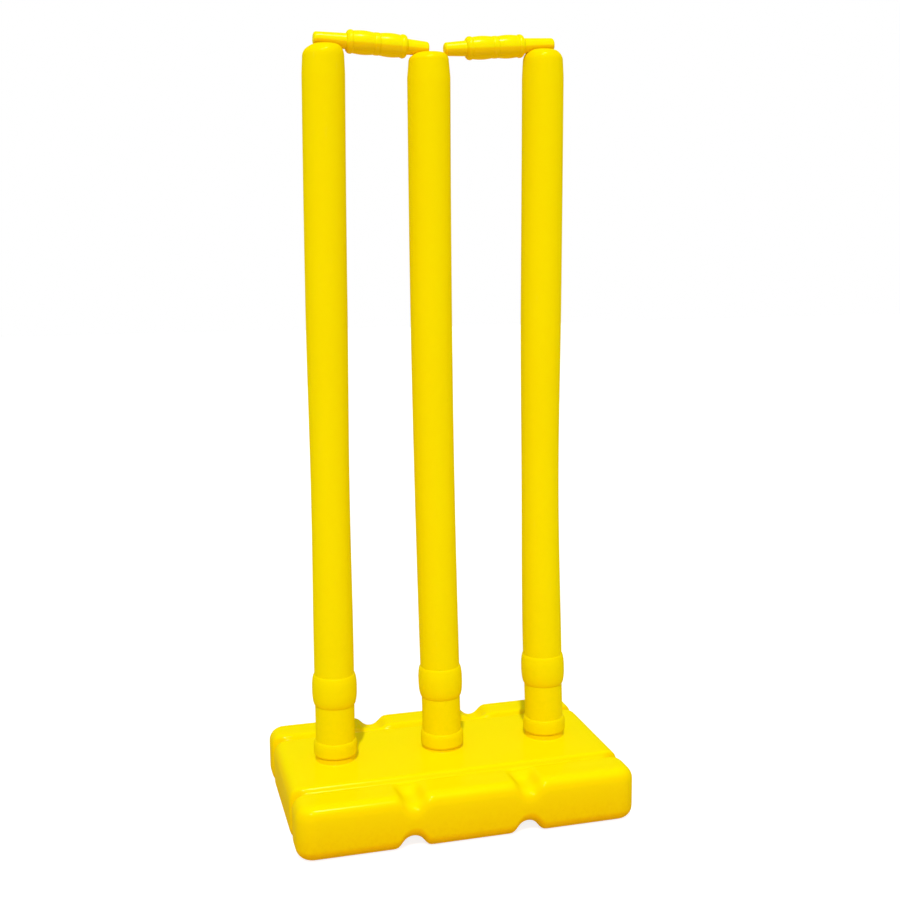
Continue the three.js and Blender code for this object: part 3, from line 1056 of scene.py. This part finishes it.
@dataclass
class Bail:
    """One turned bail, lying from an outer stump's seat to the middle one's."""

    name: str
    outer: Stump
    middle: Stump
    sense: Sense
    overhang: float
    length: float = 0.1036
    long_spigot: float = 0.029
    short_spigot: float = 0.02
    tip_radius: float = 0.0059
    root_radius: float = 0.0068
    tip_round: float = 0.0024
    ring_radius: float = 0.0103
    ring_width: float = 0.0056
    ring_round: float = 0.0036
    ring_step: float = 0.0007
    ring_run: float = 0.0018
    middle_ring_radius: float = 0.0098
    beading_neck: float = 0.0095
    beading_radius: float = 0.0103
    beading_steps: int = 28
    root_fillet: float = 0.0007
    sides: int = 144
    crisp_degrees: float = 50.0

    def ring(self, form: Outline, radius: float, start: float, near: Pair, far: Pair) -> None:
        """Adds a ring with a rounding at each side.

        Args:
            form: The outline.
            radius: The ring's radius.
            start: Where it begins.
            near: Drop and run of its rounding at the near side.
            far: Drop and run of its rounding at the far side.
        """
        end = start + self.ring_width
        form.to(radius - near[0], start).to(radius, start + near[1], Way.LEVEL, steps=10)
        form.to(radius, end - far[1]).to(radius - far[0], end, Way.STEEP, steps=10)

    def beading(self, form: Outline, start: float, end: float) -> None:
        """Adds the swelling between two rings, which the outline has left.

        Args:
            form: The outline.
            start: Where it begins.
            end: Where it ends.
        """
        swell = self.beading_radius - self.beading_neck
        for step in range(self.beading_steps + 1):
            share = step / self.beading_steps
            radius = self.beading_neck + swell * math.sin(math.pi * share)
            form.points.append((radius, start + (end - start) * share))

    def outline(self) -> Outline:
        """The profile from the long spigot's tip to the short spigot's tip.

        Returns:
            The outline, with the bail along +Z.
        """
        barrel = self.length - self.long_spigot - self.short_spigot
        barrel_end = self.long_spigot + barrel
        middle = self.long_spigot + (barrel - self.ring_width) / 2
        last = barrel_end - self.ring_width
        flat = self.tip_radius - self.tip_round
        root = self.root_radius + self.root_fillet
        outside, inside = (self.ring_round, self.ring_round), (self.ring_step, self.ring_run)
        form = Outline().to(flat, 0.0, steps=3)
        form.to(self.tip_radius, self.tip_round, Way.LEVEL, steps=10)
        form.to(self.root_radius, self.long_spigot - self.root_fillet, steps=10)
        form.to(root, self.long_spigot, Way.STEEP, steps=5)
        self.ring(form, self.ring_radius, self.long_spigot, outside, inside)
        self.beading(form, self.long_spigot + self.ring_width, middle)
        self.ring(form, self.middle_ring_radius, middle, inside, inside)
        self.beading(form, middle + self.ring_width, last)
        self.ring(form, self.ring_radius, last, inside, outside)
        form.to(root, barrel_end)
        form.to(self.root_radius, barrel_end + self.root_fillet, Way.LEVEL, steps=5)
        form.to(self.tip_radius, self.length - self.tip_round, steps=8)
        form.to(flat, self.length, Way.STEEP, steps=10)
        return form.to(0.0, self.length, steps=3)

    def placing(self) -> Matrix:
        """Where the bail lies: its tips bear on the two seats.

        Returns:
            The matrix from a bail along +Z to its place.
        """
        bearing = self.overhang + self.outer.shape.seat_reach()
        swell = (self.root_radius - self.tip_radius) * bearing / self.long_spigot
        outer_axis = self.outer.seat_height() + self.tip_radius + swell + SEAT_GAP
        inner_axis = self.middle.seat_height() + self.tip_radius + SEAT_GAP
        slope = math.atan2(outer_axis - inner_axis, self.length - bearing)
        sign = 1.0 if self.sense is Sense.RIGHTWARDS else -1.0
        start_x = self.outer.crown_x() - sign * self.overhang
        stand = Matrix.Translation((start_x, 0.0, outer_axis + bearing * math.tan(slope)))
        heading = Matrix.Rotation(self.sense.value, 4, "Z")
        return stand @ heading @ Matrix.Rotation(slope + math.pi / 2, 4, "Y")

    def build(self) -> Piece:
        """Makes the finished bail as one object."""
        bm = self.outline().turned(self.sides, self.placing())
        return mesh_object(self.name + "_turning", bm, self.crisp_degrees)


# Filler plug


@dataclass
class FillerPlug:
    """The push-in plug in the back of the base, with a grip bar in its dish."""

    flange_radius: float = 0.0133
    flange_depth: float = 0.0027
    stem_radius: float = 0.0101
    stem_length: float = 0.012
    taper: float = 0.0004
    edge: float = 0.0007
    dish_radius: float = 0.0096
    dish_depth: float = 0.0015
    grip: float = 0.003
    back: float = 0.1047
    height: float = 0.0255
    sides: int = 96

    def body(self) -> Form:
        """The round plug, from its dish over the flange to the end of its stem.

        Returns:
            The plug about the Z axis, with its face at zero.
        """
        tip = self.flange_depth + self.stem_length
        stem_end = self.stem_radius - self.taper
        form = Outline([(0.0, self.dish_depth)])
        form.to(self.dish_radius - self.edge, self.dish_depth, steps=6)
        form.to(self.dish_radius, self.edge / 2)
        form.to(self.dish_radius + self.edge / 2, 0.0, Way.STEEP, steps=5)
        form.to(self.flange_radius - self.edge, 0.0)
        form.to(self.flange_radius, self.edge, Way.LEVEL, steps=6)
        form.to(self.flange_radius, self.flange_depth).to(self.stem_radius, self.flange_depth)
        form.to(stem_end, tip - self.edge, steps=4)
        form.to(stem_end - self.edge, tip, Way.STEEP, steps=5)
        return form.to(0.0, tip, steps=3).turned(self.sides)

    def bar(self) -> Form:
        """The rounded grip bar across the dish.

        Returns:
            The bar, in place on the plug about the Z axis.
        """
        bm = bmesh.new()
        bmesh.ops.create_cube(bm, size=1.0)
        size = (2.0 * self.dish_radius, self.grip, 2.0 * self.dish_depth)
        bmesh.ops.scale(bm, vec=size, verts=bm.verts[:])
        bmesh.ops.translate(bm, vec=(0.0, 0.0, self.dish_depth + self.edge / 4), verts=bm.verts[:])
        rounding = {"offset": self.edge / 2, "offset_type": "OFFSET", "segments": 3}
        bmesh.ops.bevel(bm, geom=bm.edges[:], affect="EDGES", profile=0.5, material=-1, **rounding)
        return bm

    def build(self) -> Piece:
        """Makes the finished plug.

        Returns:
            The plug as one object.
        """
        plug = mesh_object("filler_plug_moulding", self.body())
        combine(plug, self.bar(), "UNION")
        turn = Matrix.Rotation(math.pi / 2, 4, "X")
        plug.data.transform(Matrix.Translation((0.0, self.back, self.height)) @ turn)
        return plug


# Studio


@dataclass
class Studio:
    """The plain white floor, the soft studio light and the camera."""

    floor_size: float = 14.0
    floor_colour: Triple = (0.36, 0.36, 0.36)
    floor_glow: float = 0.84
    bounce_colour: Triple = (0.75, 0.75, 0.75)
    key_strength: float = 1.92
    key_softness: float = 2.0
    key_azimuth: float = 16.8
    key_elevation: float = 52.0
    edge_lamp_power: float = 50.0
    edge_lamp_size: float = 0.2
    edge_lamp_place: Triple = (0.2, -1.06, 2.84)
    sky_strength: float = 0.5
    camera_place: Triple = (-0.287426, -1.102701, 0.532549)
    camera_yaw: float = 15.062
    camera_pitch: float = 9.376
    camera_roll: float = 0.515
    camera_lens: float = 49.108
    camera_sensor: float = 36.0
    camera_clip: Pair = (0.01, 60.0)

    def floor(self) -> None:
        """Lays a pale floor that is seen as white and keeps the shadow."""
        bm = bmesh.new()
        bmesh.ops.create_grid(bm, x_segments=1, y_segments=1, size=self.floor_size / 2)
        floor = mesh_object("studio_floor", bm)
        made = bpy.data.materials.new("studio_white")
        made.use_nodes = True
        nodes = Nodes(made.node_tree)
        shown = nodes.seen()
        nodes.feed(
            made.node_tree.nodes["Principled BSDF"],
            {
                "Base Color": nodes.mix(shown, self.bounce_colour, self.floor_colour),
                "Roughness": 0.9,
                "Specular IOR Level": 0.1,
                "Emission Color": WHITE,
                "Emission Strength": nodes.math("MULTIPLY", shown, self.floor_glow),
            },
        )
        floor.data.materials.append(made)

    def sky(self) -> None:
        """Sets a plain world that is seen as white."""
        world = bpy.data.worlds.new("studio_sky")
        bpy.context.scene.world = world
        world.use_nodes = True
        nodes = Nodes(world.node_tree)
        levels = {"Factor": nodes.seen(), "A": self.sky_strength, "B": 1.0}
        strength = nodes.add("Mix", levels).outputs["Result"]
        nodes.feed(world.node_tree.nodes["Background"], {"Color": WHITE, "Strength": strength})

    def key(self) -> None:
        """Hangs the main lamp above and behind the camera."""
        lamp = bpy.data.lights.new("studio_key", "SUN")
        lamp.energy = self.key_strength
        lamp.angle = math.radians(self.key_softness)
        across, up = math.radians(self.key_azimuth), math.radians(self.key_elevation)
        level = math.cos(up)
        towards = Vector((-math.sin(across) * level, -math.cos(across) * level, math.sin(up)))
        made = linked("studio_key", lamp)
        made.rotation_mode = "QUATERNION"
        made.rotation_quaternion = towards.to_track_quat("Z", "Y")

    def edge_lamp(self) -> None:
        """Hangs a small lamp at the right that only draws glints on the edges."""
        lamp = bpy.data.lights.new("studio_edge_lamp", "AREA")
        lamp.energy = self.edge_lamp_power
        lamp.size = self.edge_lamp_size
        made = linked("studio_edge_lamp", lamp)
        made.visible_diffuse = False
        place = Vector(self.edge_lamp_place)
        turn = place.to_track_quat("Z", "Y").to_matrix()
        made.matrix_world = Matrix.Translation(place) @ turn.to_4x4()

    def camera(self) -> None:
        """Stands the camera where the photograph was taken from."""
        data = bpy.data.cameras.new("view_camera")
        data.sensor_width = self.camera_sensor
        data.lens = self.camera_lens
        data.clip_start, data.clip_end = self.camera_clip
        yaw, pitch, roll = map(math.radians, (self.camera_yaw, self.camera_pitch, self.camera_roll))
        level = math.cos(pitch)
        ahead = Vector((math.sin(yaw) * level, math.cos(yaw) * level, -math.sin(pitch)))
        right = Vector((math.cos(yaw), -math.sin(yaw), 0.0))
        down = ahead.cross(right)
        side = right * math.cos(roll) + down * math.sin(roll)
        under = down * math.cos(roll) - right * math.sin(roll)
        turn = Matrix((side, -under, -ahead)).transposed()
        made = linked("view_camera", data)
        made.matrix_world = Matrix.Translation(self.camera_place) @ turn.to_4x4()
        bpy.context.scene.camera = made

    def build(self) -> None:
        """Sets up the floor, the light, the camera and the plain view."""
        self.floor()
        self.sky()
        self.key()
        self.edge_lamp()
        self.camera()
        bpy.context.scene.view_settings.view_transform = "Standard"


# The wicket


@dataclass
class Wicket:
    """The whole object: base, three stumps, two bails and the filler plug."""

    left: StumpShape = StumpShape(
        lean=0.41,
        bow=-0.00095,
        sway=0.00035,
        waist=0.001,
        top_radius=0.01905,
        foot_radius=0.0188,
        shift=0.002,
        drop=0.0024,
        dome_height=0.0112,
        dome_radius=0.0184,
        crown_radius=0.0078,
        seat_depth=0.004,
    )
    middle: StumpShape = StumpShape(
        lean=-0.52,
        bow=-0.0027,
        sway=0.0,
        waist=0.0001,
        top_radius=0.0194,
        foot_radius=0.0189,
        shift=0.0016,
        drop=0.0046,
        dome_height=0.0078,
        dome_radius=0.0181,
        crown_radius=0.0085,
        seat_depth=0.0032,
    )
    right: StumpShape = StumpShape(
        lean=-0.315,
        bow=-0.0034,
        sway=-0.0008,
        waist=0.0012,
        top_radius=0.0191,
        foot_radius=0.0191,
        shift=-0.0004,
        drop=0.0012,
        dome_height=0.0108,
        dome_radius=0.0184,
        crown_radius=0.0085,
        seat_depth=0.0042,
    )
    left_overhang: float = 0.0088
    right_overhang: float = 0.0099

    def build(self, groups: EffectGroups) -> None:
        """Builds and dresses every piece in order.

        Args:
            groups: The shared shader effects.
        """
        base = MouldedBase()
        dress(base.build(), BASE_FINISH.material(groups), "base")

        stumps = [
            Stump(name, x, base.boss_top(drop), shape)
            for name, (x, drop), shape in zip(
                ("left_stump", "middle_stump", "right_stump"),
                base.sockets(),
                (self.left, self.middle, self.right),
            )
        ]
        stump_plastic = STUMP_FINISH.material(groups)
        for stump in stumps:
            dress(stump.build(), stump_plastic, stump.name)

        left, middle, right = stumps
        bail_plastic = BAIL_FINISH.material(groups)
        for bail in (
            Bail("left_bail", left, middle, Sense.RIGHTWARDS, self.left_overhang),
            Bail("right_bail", right, middle, Sense.LEFTWARDS, self.right_overhang),
        ):
            dress(bail.build(), bail_plastic, bail.name)

        dress(FillerPlug().build(), PLUG_FINISH.material(groups), "filler_plug")


def main() -> None:
    """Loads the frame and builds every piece."""
    logging.basicConfig(level=logging.INFO, format="%(name)s: %(message)s")
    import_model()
    Wicket().build(EffectGroups())
    Studio().build()


if __name__ == "__main__":
    main()
